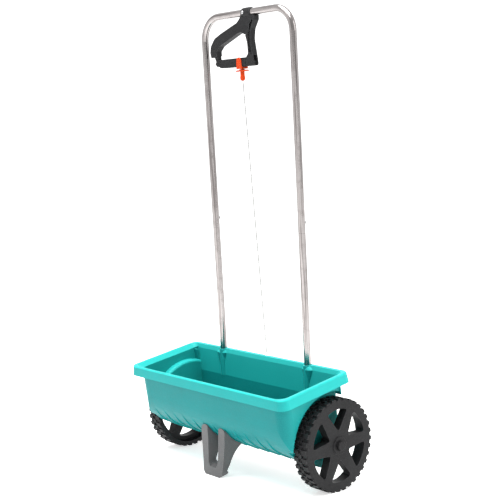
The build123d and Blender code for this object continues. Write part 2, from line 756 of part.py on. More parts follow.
def screw(place, length, head_r=SCREW_HEAD_R, shank_r=SCREW_R):
    """A pan-head screw: its head stands on the plane and its shank goes along the plane's -z."""
    with BuildPart() as fastener:
        with BuildSketch(place):
            Circle(head_r)
        extrude(amount=SCREW_HEAD_H)
        fillet(fastener.faces().sort_by(Axis(place.origin, place.z_dir))[-1].edges(), 1.2)
        with BuildSketch(place):
            Circle(shank_r)
        extrude(amount=-length)
    return fastener.part


def lower_tube(side):
    """A tube from its socket up to the joint, with a spigot that plugs into the bow."""
    with BuildPart() as tube:
        with BuildSketch(tube_plane(side, HANDLE_FOOT)):
            Circle(TUBE_R)
        extrude(amount=HANDLE_JOINT - JOINT_GAP - HANDLE_FOOT)
        with BuildSketch(tube_plane(side, HANDLE_JOINT - 1)):
            Circle(SPIGOT_R)
        extrude(amount=SPIGOT_LENGTH)
        with BuildSketch(tube_plane(side, HANDLE_FOOT)):
            Circle(SPIGOT_R - TUBE_WALL)
        extrude(amount=HANDLE_JOINT + SPIGOT_LENGTH - HANDLE_FOOT, mode=Mode.SUBTRACT)
        for s in (SOCKET_SCREW_S, JOINT_SCREW_S):
            with BuildSketch(Plane(on_bow(side * tube_x(s), s), z_dir=-BOW.z_dir)):
                Circle(SCREW_R)
            extrude(amount=2 * TUBE_R, mode=Mode.SUBTRACT)
    return tube


lower_tube_left = lower_tube(1)
lower_tube_right = lower_tube(-1)

with BuildPart() as handle_bow:
    with BuildLine(BOW):
        bend_path = FilletPolyline(
            (-tube_x(HANDLE_JOINT), HANDLE_JOINT),
            (-tube_x(HANDLE_TOP), HANDLE_TOP),
            (tube_x(HANDLE_TOP), HANDLE_TOP),
            (tube_x(HANDLE_JOINT), HANDLE_JOINT),
            radius=BOW_BEND_R,
        )
    with BuildSketch(Plane(bend_path @ 0, z_dir=bend_path % 0)):
        Circle(TUBE_R)
        Circle(TUBE_R - TUBE_WALL, mode=Mode.SUBTRACT)
    sweep()
    for side in (-1, 1):
        with BuildSketch(Plane(on_bow(side * tube_x(JOINT_SCREW_S), JOINT_SCREW_S), z_dir=-BOW.z_dir)):
            Circle(SCREW_R)
        extrude(amount=2 * TUBE_R, mode=Mode.SUBTRACT)
    with BuildSketch(Plane(on_bow(GRIP_SCREW_X, HANDLE_TOP), z_dir=BOW.z_dir)):
        Circle(SCREW_R)
    extrude(amount=2 * TUBE_R, mode=Mode.SUBTRACT)

with BuildPart() as socket_screws:
    for side in (-1, 1):
        place = Plane(on_bow(side * tube_x(SOCKET_SCREW_S), SOCKET_SCREW_S, -SOCKET_R), z_dir=-BOW.z_dir)
        add(screw(place, 9))

with BuildPart() as joint_screws:
    for side in (-1, 1):
        place = Plane(on_bow(side * tube_x(JOINT_SCREW_S), JOINT_SCREW_S, -TUBE_R), z_dir=-BOW.z_dir)
        add(screw(place, 6))

with BuildPart() as foot_screws:
    for side in (-1, 1):
        place = foot_screw_plane(side)
        add(screw(Plane(place.origin, z_dir=-place.z_dir), 12.5))

# --- Grip ---------------------------------------------------------------------------------------------

# The front piece: a head clamped round the crossbar, the palm rest and the finger guard.
with BuildPart() as grip_frame:
    with BuildSketch(BOW) as outline:
        with BuildLine():
            Polyline(*GRIP_FRAME_OUTLINE, close=True)
        make_face()
        for point, radius in GRIP_FRAME_ROUNDS:
            fillet(outline.vertices().sort_by_distance(point)[0], radius)
    extrude(amount=GRIP_HALF, both=True)
    with BuildSketch(Plane(on_bow(GRIP_HEAD_FROM, HANDLE_TOP), z_dir=(1, 0, 0))):
        Circle(GRIP_HEAD_R)
    extrude(amount=GRIP_HEAD_TO - GRIP_HEAD_FROM)
    fillet(grip_frame.edges().filter_by(GeomType.CIRCLE).filter_by(lambda e: e.radius > GRIP_HEAD_R - 0.1), 2)
    with BuildSketch(Plane(on_bow(-60, HANDLE_TOP), z_dir=(1, 0, 0))):
        Circle(TUBE_R + FIT_GAP)
    extrude(amount=120, mode=Mode.SUBTRACT)
    with BuildSketch(BOW.offset(GRIP_SCREW_SEAT)):
        with Locations((GRIP_SCREW_X, HANDLE_TOP)):
            Circle(SCREW_HEAD_R + 0.2)
    extrude(amount=6, mode=Mode.SUBTRACT)
    with BuildSketch(BOW):
        with Locations((GRIP_SCREW_X, HANDLE_TOP)):
            Circle(SCREW_R)
    extrude(amount=2 * TUBE_R, mode=Mode.SUBTRACT)

# The rear piece: a channelled arm from under the crossbar down to the trigger's pin.
with BuildPart() as grip_arm:
    with BuildSketch(BOW) as outline:
        with BuildLine():
            Polyline(*GRIP_ARM_OUTLINE, close=True)
        make_face()
        for point, radius in GRIP_ARM_ROUNDS:
            fillet(outline.vertices().sort_by_distance(point)[0], radius)
    extrude(amount=GRIP_HALF, both=True)
    # The clevis: a round end about the pin, forked for the trigger's tongue.
    with BuildSketch(BOW):
        with Locations((PIN_X, PIN_S)):
            Circle(TRIGGER_PIVOT_R - BODY_GAP)
        with Locations((PIN_X - TRIGGER_PIVOT_R / 2, (CLEVIS_FOOT + FORK_TOP) / 2)):
            Rectangle(TRIGGER_PIVOT_R, FORK_TOP - CLEVIS_FOOT, mode=Mode.INTERSECT)
    extrude(amount=GRIP_HALF, both=True)
    with BuildSketch(BOW):
        with Locations((0, FORK_TOP - 20)):
            Rectangle(80, 40)
    extrude(amount=TONGUE_HALF + BODY_GAP, both=True, mode=Mode.SUBTRACT)
    with BuildSketch(BOW.offset(GRIP_HALF - 2)):
        for x in (11.2, 16.0):
            with Locations((x, 712)):
                SlotOverall(44, 2.6, rotation=94)
    extrude(amount=4, mode=Mode.SUBTRACT)
    with BuildSketch(Plane(on_bow(-60, HANDLE_TOP), z_dir=(1, 0, 0))):
        Circle(TUBE_R + FIT_GAP)
    extrude(amount=120, mode=Mode.SUBTRACT)
    with BuildSketch(BOW.offset(GRIP_HALF - PIN_COVER)):
        with Locations((PIN_X, PIN_S)):
            Circle(PIN_R)
    extrude(amount=-4 * GRIP_HALF, mode=Mode.SUBTRACT)

with BuildPart() as grip_screw:
    with BuildSketch(BOW.offset(GRIP_SCREW_SEAT)):
        with Locations((GRIP_SCREW_X, HANDLE_TOP)):
            Circle(SCREW_HEAD_R)
    extrude(amount=SCREW_HEAD_H)
    fillet(grip_screw.faces().sort_by(Axis(BOW.origin, BOW.z_dir))[-1].edges(), 2)
    with BuildSketch(BOW.offset(GRIP_SCREW_SEAT)):
        with Locations((GRIP_SCREW_X, HANDLE_TOP)):
            Circle(SCREW_R)
    extrude(amount=-6)

# The trigger: a bar under the opening, with a tongue that turns on the pin in the arm's clevis.
with BuildPart() as trigger:
    with BuildSketch(BOW) as outline:
        with BuildLine():
            Polyline(*TRIGGER_OUTLINE, close=True)
        make_face()
        for point, radius in TRIGGER_ROUNDS:
            fillet(outline.vertices().sort_by_distance(point)[0], radius)
        with Locations((PIN_X, PIN_S)):
            Circle(TRIGGER_PIVOT_R, mode=Mode.SUBTRACT)
    extrude(amount=TRIGGER_HALF, both=True)
    with BuildSketch(BOW):
        with Locations((PIN_X, PIN_S)):
            Circle(TONGUE_R)
        with Locations((PIN_X - TRIGGER_PIVOT_R / 2 - 2, PIN_S)):
            Rectangle(TRIGGER_PIVOT_R + 4, 2 * TONGUE_R - 1)
    extrude(amount=TONGUE_HALF, both=True)
    with BuildSketch(BOW):
        with Locations((PIN_X, PIN_S)):
            Circle(PIN_R + FIT_GAP)
    extrude(amount=20, both=True, mode=Mode.SUBTRACT)

with BuildPart() as trigger_pin:
    with BuildSketch(BOW.offset(GRIP_HALF - PIN_COVER)):
        with Locations((PIN_X, PIN_S)):
            Circle(PIN_R)
    extrude(amount=PIN_COVER - 2 * GRIP_HALF)

# --- Cord adjuster and cord ---------------------------------------------------------------------------

# A saddle hooked over the trigger's bar, with the adjuster's stem under it.
with BuildPart() as adjuster_saddle:
    with BuildSketch(BOW) as outline:
        with Locations((ADJUSTER_X, 666.5)):
            Rectangle(18, 21)
        fillet(outline.vertices().sort_by(Axis.Y)[-2:], 6)
    extrude(amount=TRIGGER_HALF + 1.9, both=True)
    with BuildSketch(BOW):
        with Locations((ADJUSTER_X, 680.3)):
            Rectangle(30, 40)
    extrude(amount=TRIGGER_HALF + 0.1, both=True, mode=Mode.SUBTRACT)
    with BuildSketch(Plane(on_bow(ADJUSTER_X, 657), z_dir=-BOW.y_dir)):
        Circle(STEM_R)
    extrude(amount=16)

# The nut that takes up the cord: two wings, a neck and a bulb with a flared mouth.
with BuildPart() as adjuster_nut:
    with BuildSketch(BOW):
        with BuildLine():
            Polyline(*[(ADJUSTER_X + r, s) for r, s in NUT_PROFILE], close=True)
        make_face()
    revolve(axis=Axis(on_bow(ADJUSTER_X, NOZZLE_S), BOW.y_dir))
    with BuildSketch(Plane(on_bow(ADJUSTER_X, 650.6), x_dir=(1, 0, 0), z_dir=BOW.y_dir)):
        Ellipse(21.5, 7.5)
        Circle(6, mode=Mode.SUBTRACT)
    extrude(amount=3)

# The cord runs straight from the nut's mouth, through the rim's notch, to the eye in the shutter's tab.
cord_line = (cord_eye - cord_top).normalized()
cord_end = cord_eye + cord_line * 6.5
with BuildPart() as pull_cord:
    with BuildSketch(Plane(cord_top, z_dir=cord_line)):
        Circle(CORD_R)
    extrude(amount=(cord_end - cord_top).length)

with BuildPart() as cord_nipple:
    with Locations(cord_eye + cord_line * 4.7):
        Sphere(2.4)
    with BuildSketch(Plane(cord_eye, z_dir=cord_line)):
        Circle(CORD_R)
    extrude(amount=10, mode=Mode.SUBTRACT)

# --- Park the machine and write the pieces --------------------------------------------------------------

pieces = {
    "hopper": hopper,
    "foot": foot,
    "foot_screws": foot_screws,
    "bush_left": bush_left,
    "bush_right": bush_right,
    "axle": axle,
    "agitator": agitator,
    "paddles": paddles,
    "drive_pins": drive_pins,
    "wheel_left": wheel_left,
    "wheel_right": wheel_right,
    "hub_cap_left": hub_cap_left,
    "hub_cap_right": hub_cap_right,
    "wheel_washers": wheel_washers,
    "shutter": shutter,
    "return_spring": return_spring,
    "lower_tube_left": lower_tube_left,
    "lower_tube_right": lower_tube_right,
    "handle_bow": handle_bow,
    "socket_screws": socket_screws,
    "joint_screws": joint_screws,
    "grip_frame": grip_frame,
    "grip_arm": grip_arm,
    "grip_screw": grip_screw,
    "trigger": trigger,
    "trigger_pin": trigger_pin,
    "adjuster_saddle": adjuster_saddle,
    "adjuster_nut": adjuster_nut,
    "pull_cord": pull_cord,
    "cord_nipple": cord_nipple,
}
for name, piece in pieces.items():
    piece.part = piece.part.moved(PARKED)
    piece.part.label = name
    export_step(piece.part, f"parts/{name}.step")
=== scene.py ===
import json
from math import atan2, cos, pi, radians, sin, tan

import bmesh
import bpy
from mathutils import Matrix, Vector


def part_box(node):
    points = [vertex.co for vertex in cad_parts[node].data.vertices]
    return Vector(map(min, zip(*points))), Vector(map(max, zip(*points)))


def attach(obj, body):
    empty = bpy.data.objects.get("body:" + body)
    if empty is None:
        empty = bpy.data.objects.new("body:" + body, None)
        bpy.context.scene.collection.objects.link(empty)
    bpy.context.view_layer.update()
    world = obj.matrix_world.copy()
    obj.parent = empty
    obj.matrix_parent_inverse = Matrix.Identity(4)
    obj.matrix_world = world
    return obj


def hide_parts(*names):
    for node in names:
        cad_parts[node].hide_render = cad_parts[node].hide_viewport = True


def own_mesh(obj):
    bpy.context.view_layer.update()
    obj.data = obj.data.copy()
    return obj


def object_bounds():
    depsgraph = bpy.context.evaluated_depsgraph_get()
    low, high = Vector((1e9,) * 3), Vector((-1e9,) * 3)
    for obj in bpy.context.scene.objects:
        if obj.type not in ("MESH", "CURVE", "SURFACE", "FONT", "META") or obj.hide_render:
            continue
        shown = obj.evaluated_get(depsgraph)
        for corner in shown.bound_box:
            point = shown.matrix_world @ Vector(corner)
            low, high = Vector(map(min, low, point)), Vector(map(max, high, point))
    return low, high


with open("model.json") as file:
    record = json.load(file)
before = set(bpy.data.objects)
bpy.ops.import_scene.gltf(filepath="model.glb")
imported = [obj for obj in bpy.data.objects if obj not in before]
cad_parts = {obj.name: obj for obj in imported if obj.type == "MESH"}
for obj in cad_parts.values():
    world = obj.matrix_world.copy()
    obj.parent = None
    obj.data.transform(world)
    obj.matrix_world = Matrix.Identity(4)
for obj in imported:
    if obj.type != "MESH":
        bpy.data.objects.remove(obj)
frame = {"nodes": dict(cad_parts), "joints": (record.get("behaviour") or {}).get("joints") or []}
cad_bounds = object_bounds()

# --- Materials ----------------------------------------------------------------------------------------
# Short ways to write shader nodes. Wire is a socket that takes arithmetic, Nodes is a tree of them, and
# Finish is one material.


class Wire:
    """One socket in a node tree. Arithmetic on wires adds Math nodes to that tree."""

    def __init__(self, nodes, socket):
        self.nodes = nodes
        self.socket = socket

    def math(self, operation, *values):
        """A Math node of that operation on the values."""
        return self.nodes.add("ShaderNodeMath", {"operation": operation}, dict(enumerate(values)))

    def __add__(self, other):
        return self.math("ADD", self, other)

    def __radd__(self, other):
        return self.math("ADD", other, self)

    def __sub__(self, other):
        return self.math("SUBTRACT", self, other)

    def __mul__(self, other):
        return self.math("MULTIPLY", self, other)

    def from_to(self, low, high, start=0.0, end=1.0):
        """This wire from low to high, carried over smoothly to start and end."""
        settings = {"interpolation_type": "SMOOTHSTEP"}
        values = {"Value": self, "From Min": low, "From Max": high, "To Min": start, "To Max": end}
        return self.nodes.add("ShaderNodeMapRange", settings, values)


class Nodes:
    """A node tree, with a short way to add to it."""

    def __init__(self, tree):
        self.tree = tree

    def add(self, kind, settings=(), values=(), output=0):
        """A node of that kind, its settings made first, then its sockets given values or wires."""
        made = self.tree.nodes.new(kind)
        for setting, value in dict(settings).items():
            setattr(made, setting, value)
        for socket, value in dict(values).items():
            self.give(made.inputs[socket], value)
        return Wire(self, made.outputs[output])

    def give(self, socket, value):
        """A socket's value, or the wire that feeds it."""
        if isinstance(value, Wire):
            self.tree.links.new(value.socket, socket)
        else:
            socket.default_value = value

    def mixed(self, share, first, second):
        """A colour between two, as far towards the second as share says."""
        values = {0: share, 6: first, 7: second}
        return self.add("ShaderNodeMix", {"data_type": "RGBA"}, values, output=2)


class Finish(Nodes):
    """A material: one Principled shader and the nodes that vary it. Its pattern stays with the piece."""

    def __init__(self, name, **constants):
        self.material = bpy.data.materials.new(name)
        self.material.use_nodes = True
        super().__init__(self.material.node_tree)
        self.shader = self.tree.nodes["Principled BSDF"]
        self.place = self.add("ShaderNodeTexCoord", output="Object")
        for socket, value in constants.items():
            self.set(socket.replace("_", " "), value)

    def set(self, socket, value):
        """The shader's own socket, given a value or a wire."""
        self.give(self.shader.inputs[socket], value)

    def stretched(self, factors):
        """The place on the piece, scaled along each axis."""
        return self.add("ShaderNodeVectorMath", {"operation": "MULTIPLY"}, {0: self.place, 1: factors})

    def noise(self, scale, detail=2.0, place=None):
        """Cloudy noise from 0 to 1, with so many clouds a metre."""
        values = {"Vector": place or self.place, "Scale": scale, "Detail": detail}
        return self.add("ShaderNodeTexNoise", {}, values)

    def bump(self, height, depth, under=None):
        """Relief of that depth in metres, over another relief."""
        values = {"Height": height, "Distance": depth}
        if under:
            values["Normal"] = under
        return self.add("ShaderNodeBump", {}, values)

    def part(self, axis):
        """One coordinate of the place on the piece."""
        return self.add("ShaderNodeSeparateXYZ", {}, {0: self.place}, output=axis)

    def edges(self, radius):
        """1 on edges and in corners within the radius, and 0 on flat and gently curved faces."""
        rounded_normal = self.add("ShaderNodeBevel", {"samples": 6}, {"Radius": radius})
        normal = self.add("ShaderNodeNewGeometry", output="Normal")
        settings = {"operation": "DOT_PRODUCT"}
        alike = self.add("ShaderNodeVectorMath", settings, {0: rounded_normal, 1: normal}, output="Value")
        return alike.from_to(0.995, 0.85)


# --- Studio -------------------------------------------------------------------------------------------
# The machine stands parked on a pale seamless floor. Two softboxes in front and one above light it. The
# surround is bright beyond the machine and dimmer behind the camera, for the chrome to reflect.

FLOOR_HALF = 40.0
CAMERA_AZIMUTH = radians(47.94)
CAMERA_ELEVATION = radians(4.72)
CAMERA_DISTANCE = 2.3546
CAMERA_LENS = 75.8
LOOK_OFFSET = Vector((0.0223, -0.0029, -0.0173))
# The surround's strength straight ahead and round it, what it gains towards the sides, and what it loses
# again behind the camera. Each change lies between two values of the cosine to the camera's side.
SURROUND_BRIGHT = 1.5
SURROUND_FLAG = 0.95
SURROUND_SIDE_GAIN = 0.25
SURROUND_BEHIND_LOSS = 0.6
FLAG_EDGE = (-0.95, -0.86)
SIDE_EDGE = (-0.5, -0.1)
BEHIND_EDGE = (0.2, 0.75)
FLOOR_GLOW = 0.6

centre = (cad_bounds[0] + cad_bounds[1]) / 2


def direction(azimuth, elevation):
    """The way from the machine to something at this azimuth, seen as the camera's own is."""
    return Vector((sin(azimuth) * cos(elevation), -cos(azimuth) * cos(elevation), sin(elevation)))


def aim(thing, place, target):
    """Puts a camera or a light at a place, turned to look at the target."""
    thing.location = place
    thing.rotation_mode = "QUATERNION"
    thing.rotation_quaternion = (target - place).to_track_quat("-Z", "Y")
    bpy.context.scene.collection.objects.link(thing)


look_at = centre + LOOK_OFFSET
camera = bpy.data.objects.new("camera", bpy.data.cameras.new("camera"))
camera.data.lens = CAMERA_LENS
aim(camera, look_at + direction(CAMERA_AZIMUTH, CAMERA_ELEVATION) * CAMERA_DISTANCE, look_at)
bpy.context.scene.camera = camera
bpy.context.scene.view_settings.view_transform = "Standard"

for name, azimuth, elevation, distance, size, watts in (
    ("key_softbox", 104, 30, 2.6, 1.2, 9),
    ("fill_softbox", -14, 34, 3.0, 1.4, 5),
    ("top_softbox", 10, 72, 2.4, 2.0, 100),
):
    lamp = bpy.data.lights.new(name, "AREA")
    lamp.size = size
    lamp.energy = watts
    place = centre + direction(radians(azimuth), radians(elevation)) * distance
    aim(bpy.data.objects.new(name, lamp), place, centre)


surround = bpy.data.worlds.new("surround")
surround.use_nodes = True
bpy.context.scene.world = surround
sky = Nodes(surround.node_tree)
compass = sky.add("ShaderNodeTexCoord", output="Generated")
behind_camera = direction(CAMERA_AZIMUTH, 0)
facing = sky.add(
    "ShaderNodeVectorMath", {"operation": "DOT_PRODUCT"}, {0: compass, 1: behind_camera}, output="Value")
level = facing.from_to(*FLAG_EDGE, SURROUND_BRIGHT, SURROUND_FLAG)
level = level + facing.from_to(*SIDE_EDGE, 0.0, SURROUND_SIDE_GAIN)
level = level - facing.from_to(*BEHIND_EDGE, 0.0, SURROUND_BEHIND_LOSS)
sky.give(surround.node_tree.nodes["Background"].inputs["Strength"], level)
surround.node_tree.nodes["Background"].inputs["Color"].default_value = (1, 1, 1, 1)


FLOOR_COLOR = (0.93, 0.93, 0.925, 1)
FLOOR_SHADE = (0.9, 0.9, 0.895, 1)
floor_finish = Finish("floor_paper", Roughness=0.9)
floor_tone = floor_finish.noise(0.8).from_to(0.3, 0.7, 0.0, 0.15)
floor_finish.set("Base Color", floor_finish.mixed(floor_tone, FLOOR_COLOR, FLOOR_SHADE))
floor_finish.set("Emission Color", FLOOR_COLOR)
floor_finish.set("Emission Strength", FLOOR_GLOW)
floor_mesh = bpy.data.meshes.new("floor")
floor_corners = [(x * FLOOR_HALF, y * FLOOR_HALF, 0) for x, y in ((-1, -1), (1, -1), (1, 1), (-1, 1))]
floor_mesh.from_pydata(floor_corners, [], [(0, 1, 2, 3)])
floor = bpy.data.objects.new("floor", floor_mesh)
floor_mesh.materials.append(floor_finish.material)
bpy.context.scene.collection.objects.link(floor)

# --- Hopper -------------------------------------------------------------------------------------------
# One injection moulding in turquoise polypropylene, satin, with a fine spark-eroded grain. Its rolled
# edges, corners and flutes are painted a little lighter, partly as handling wear and partly as painted
# highlight, and faces that turn upward are painted lighter as painted top light.

TURQUOISE = (0.004, 0.190, 0.194, 1)
TURQUOISE_DEEP = (0.003, 0.168, 0.173, 1)
# A paler turquoise for random flecks and for edges painted lighter, partly as wear and partly as painted
# highlight.
TURQUOISE_PALE_WEAR_AND_HIGHLIGHT = (0.02, 0.40, 0.385, 1)
# Painted top light: a lighter turquoise painted on faces that turn upward.
TURQUOISE_PAINTED_TOP_LIGHT = (0.022, 0.47, 0.445, 1)
GRAIN_PER_M = 1400
GRAIN_DEPTH = 0.00004
PLASTIC_SPECULAR = 0.13


def coat(finish, *nodes):
    """Gives CAD pieces a finish in place of the plain one that they came with."""
    for name in nodes:
        piece = frame["nodes"][name]
        piece.data.materials.clear()
        piece.data.materials.append(finish.material)


def moulded(name, color, deep, pale_wear_and_highlight, roughness, grain=GRAIN_DEPTH, edge_radius=0.0008, painted_top_light=None):
    """A moulded plastic: uneven tone and gloss, spark-eroded grain, paler flecks, and edges painted
    lighter, partly as rubbed wear and partly as painted highlight. Faces that turn upward get painted top
    light when that colour is given.
    """
    finish = Finish(name)
    finish.set("Specular IOR Level", PLASTIC_SPECULAR)
    tone = finish.mixed(finish.noise(7, 4).from_to(0.32, 0.7), color, deep)
    if painted_top_light:
        # Painted top light: faces that turn upward are painted towards the lighter colour.
        lookout = finish.add("ShaderNodeNewGeometry", output="Normal")
        skyward = finish.add("ShaderNodeSeparateXYZ", {}, {0: lookout}, output="Z")
        tone = finish.mixed(skyward.from_to(-0.22, 0.25), tone, painted_top_light)
    speck = finish.noise(420, 3).from_to(0.35, 0.75)
    tone = finish.mixed(speck * 0.12, tone, pale_wear_and_highlight)
    # Painted highlight and wear: edges and corners are painted towards the paler colour, in patches.
    wear_and_highlight_edges = finish.edges(edge_radius) * finish.noise(60, 3).from_to(0.2, 0.6, 0.35, 0.9)
    finish.set("Base Color", finish.mixed(wear_and_highlight_edges, tone, pale_wear_and_highlight))
    streaks = finish.noise(1, 4, finish.stretched((30, 30, 260)))
    finish.set("Roughness", roughness + streaks.from_to(0.3, 0.8) * 0.1 + speck * 0.05)
    swell = finish.bump(finish.noise(26, 2), 0.0004)
    finish.set("Normal", finish.bump(finish.noise(GRAIN_PER_M, 2), grain, swell))
    return finish


hopper_finish = moulded(
    "hopper_plastic", TURQUOISE, TURQUOISE_DEEP, TURQUOISE_PALE_WEAR_AND_HIGHLIGHT, 0.34, painted_top_light=TURQUOISE_PAINTED_TOP_LIGHT)
coat(hopper_finish, "hopper")

# --- Shapes -------------------------------------------------------------------------------------------
# Helpers for the pieces that are built anew in place of their CAD: outlines with rounded corners, the
# plates and turned shapes made from them, and cuts and joins between those.

MM = 0.001
WELD = 1e-6
PLATE_SHARP = radians(38)


def rounded(corners):
    """An outline through corners (x, y, radius), with an arc at each one that has a radius."""
    points = []
    for n, (x, y, radius) in enumerate(corners):
        here = Vector((x, y))
        before = Vector(corners[n - 1][:2]) - here
        after = Vector(corners[(n + 1) % len(corners)][:2]) - here
        if radius == 0:
            points.append(here)
            continue
        half = before.angle(after) / 2
        middle = here + (before.normalized() + after.normalized()).normalized() * (radius / sin(half))
        start = here + before.normalized() * (radius / tan(half)) - middle
        end = here + after.normalized() * (radius / tan(half)) - middle
        first = atan2(start.y, start.x)
        turn = (atan2(end.y, end.x) - first + pi) % (2 * pi) - pi
        steps = max(3, round(abs(turn) / radians(10)))
        for step in range(steps + 1):
            angle = first + turn * step / steps
            points.append(middle + Vector((cos(angle), sin(angle))) * radius)
    return points


def dressed(name, mesh, finish, body, nodes=(), rounding=None, segments=3):
    """Makes a piece of a mesh: edges rounded, shaded smooth, with its finish and body."""
    piece = bpy.data.objects.new(name, mesh)
    bpy.context.scene.collection.objects.link(piece)
    mesh.materials.clear()
    mesh.materials.append(finish.material)
    if rounding:
        bevel = piece.modifiers.new("rounding", "BEVEL")
        bevel.width = rounding * MM
        bevel.segments = segments
        bevel.limit_method = "ANGLE"
        bevel.angle_limit = PLATE_SHARP
    mesh.shade_smooth()
    mesh.set_sharp_from_angle(angle=PLATE_SHARP)
    if rounding:
        mesh.shade_smooth()
        piece.modifiers.new("even_shading", "WEIGHTED_NORMAL").keep_sharp = True
    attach(piece, body)
    if nodes:
        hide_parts(*nodes)
    return piece


def plate(outline, back, front, at):
    """A bmesh of an outline drawn in a plane, from one distance out of that plane to another."""
    built = bmesh.new()
    low = [built.verts.new(at(p.x, p.y, back)) for p in outline]
    high = [built.verts.new(at(p.x, p.y, front)) for p in outline]
    built.faces.new(low)
    built.faces.new(high)
    for n in range(len(outline)):
        m = (n + 1) % len(outline)
        built.faces.new((low[n], low[m], high[m], high[n]))
    bmesh.ops.recalc_face_normals(built, faces=built.faces)
    return built


def turned(profile, start, axis, steps=48, squeeze=1.0):
    """A bmesh turned about an axis from (radius, height) points in mm, from its foot to its top."""
    built = bmesh.new()
    side = axis.orthogonal().normalized()
    if abs(axis.x) < 0.5:
        side = Vector((1, 0, 0))
    across = axis.cross(side)
    rings = []
    for radius, height in profile:
        middle = start + axis * (height * MM)
        if radius == 0:
            rings.append([built.verts.new(middle)] * steps)
            continue
        ring = []
        for n in range(steps):
            angle = 2 * pi * n / steps
            outward = side * cos(angle) + across * (sin(angle) * squeeze)
            ring.append(built.verts.new(middle + outward * (radius * MM)))
        rings.append(ring)
    for below, above in zip(rings, rings[1:]):
        for n in range(steps):
            m = (n + 1) % steps
            corners = [below[n], below[m], above[m], above[n]]
            built.faces.new(list(dict.fromkeys(corners)))
    bmesh.ops.remove_doubles(built, verts=built.verts, dist=WELD)
    bmesh.ops.recalc_face_normals(built, faces=built.faces)
    return built


def scratch(built):
    """A bmesh as an object of its own, to cut or join another with."""
    mesh = bpy.data.meshes.new("scratch")
    built.to_mesh(mesh)
    built.free()
    made = bpy.data.objects.new("scratch", mesh)
    bpy.context.scene.collection.objects.link(made)
    return made


def combined(base, *steps):
    """The mesh of a bmesh after others are cut from it or joined to it, in turn."""
    piece = scratch(base)
    tools = []
    for operation, built in steps:
        tool = scratch(built)
        tools.append(tool)
        change = piece.modifiers.new(operation, "BOOLEAN")
        change.operation = operation
        change.solver = "EXACT"
        change.object = tool
    graph = bpy.context.evaluated_depsgraph_get()
    mesh = bpy.data.meshes.new_from_object(piece.evaluated_get(graph))
    for made in (piece, *tools):
        bpy.data.objects.remove(made)
    return mesh


# --- Foot ---------------------------------------------------------------------------------------------
# A two-pronged stand moulded in grey plastic. It hugs the hopper's slope, is fixed there by two screws,
# and narrows to a flat sole.

FOOT_GREY = (0.13, 0.13, 0.132, 1)
FOOT_DEEP = (0.10, 0.10, 0.102, 1)
# A paler grey for random flecks and for edges painted lighter, partly as wear and partly as painted
# highlight.
FOOT_PALE_WEAR_AND_HIGHLIGHT = (0.30, 0.30, 0.30, 1)
foot_finish = moulded("foot_plastic", FOOT_GREY, FOOT_DEEP, FOOT_PALE_WEAR_AND_HIGHLIGHT, 0.42)
FOOT_ROUNDING = 1.6

# The machine's own frame, which stands level when it is driven: x across, z up, out to the front.
PARK_TILT = radians(10.45)
AXLE_HEIGHT = 100.5
axle_middle = Vector((0, 29.96, AXLE_HEIGHT)) * MM
machine_up = Vector((0, -sin(PARK_TILT), cos(PARK_TILT)))
machine_out = Vector((0, -cos(PARK_TILT), -sin(PARK_TILT)))


def on_machine(x, z, out=0.0):
    """The point at width x and height z from the axle's middle, so far in front of it."""
    return axle_middle + (Vector((x, 0, 0)) + machine_up * z + machine_out * out) * MM


def in_profile(out, z, x=0.0):
    """The same, for an outline that is drawn in the side view."""
    return on_machine(x, z, out)


FOOT_FRONT = (
    (-40, 34, 11), (-39, 0, 40), (-33, -52, 30), (-30.5, -77.5, 15), (30.5, -77.5, 15), (33, -52, 30),
    (39, 0, 40), (40, 34, 11))
FOOT_SLOT = ((20.5, 60, 0), (15.5, -53, 6), (-15.5, -53, 6), (-20.5, 60, 0))
SLOT_FLOOR = ((150, -62, 0), (118, -50, 0), (150, -50, 0))
FOOT_REACH = 200
SLOT_FLOOR_HALF = 12
cad_foot = bmesh.new()
cad_foot.from_mesh(frame["nodes"]["foot"].data)
bmesh.ops.remove_doubles(cad_foot, verts=cad_foot.verts, dist=WELD)
foot_mesh = combined(
    cad_foot,
    ("INTERSECT", plate(rounded(FOOT_FRONT), 0, FOOT_REACH, on_machine)),
    ("DIFFERENCE", plate(rounded(FOOT_SLOT), 0, FOOT_REACH, on_machine)),
    ("DIFFERENCE", plate(rounded(SLOT_FLOOR), -SLOT_FLOOR_HALF, SLOT_FLOOR_HALF, in_profile)))
dressed("front_foot", foot_mesh, foot_finish, "machine", ["foot"], FOOT_ROUNDING, 3)

# --- Screws and shafts --------------------------------------------------------------------------------
# Zinc-plated steel: the axle, its cross pins and washers, and all the screws. Drawn and turned steel
# has fine lines along or round it.

STEEL = (0.50, 0.50, 0.51, 1)
STEEL_DULL = (0.36, 0.355, 0.35, 1)
steel_finish = Finish("zinc_steel", Metallic=1.0)
plating = steel_finish.noise(160, 4).from_to(0.35, 0.7)
steel_finish.set("Base Color", steel_finish.mixed(plating, STEEL, STEEL_DULL))
drawn_lines = steel_finish.noise(1, 3, steel_finish.stretched((40, 2500, 2500)))
steel_finish.set("Roughness", 0.28 + drawn_lines * 0.16)
steel_finish.set("Normal", steel_finish.bump(drawn_lines, 0.00002))
coat(steel_finish, "axle", "drive_pins", "wheel_washers", "foot_screws", "socket_screws", "joint_screws")
coat(steel_finish, "trigger_pin", "grip_screw", "cord_nipple", "return_spring")

# --- Bushes and agitator ------------------------------------------------------------------------------
# Two flanged nylon bushes in the end walls carry the axle. The agitator on the axle is black plastic
# with a paddle over each metering slot.

NYLON = (0.62, 0.61, 0.57, 1)
NYLON_DEEP = (0.50, 0.49, 0.45, 1)
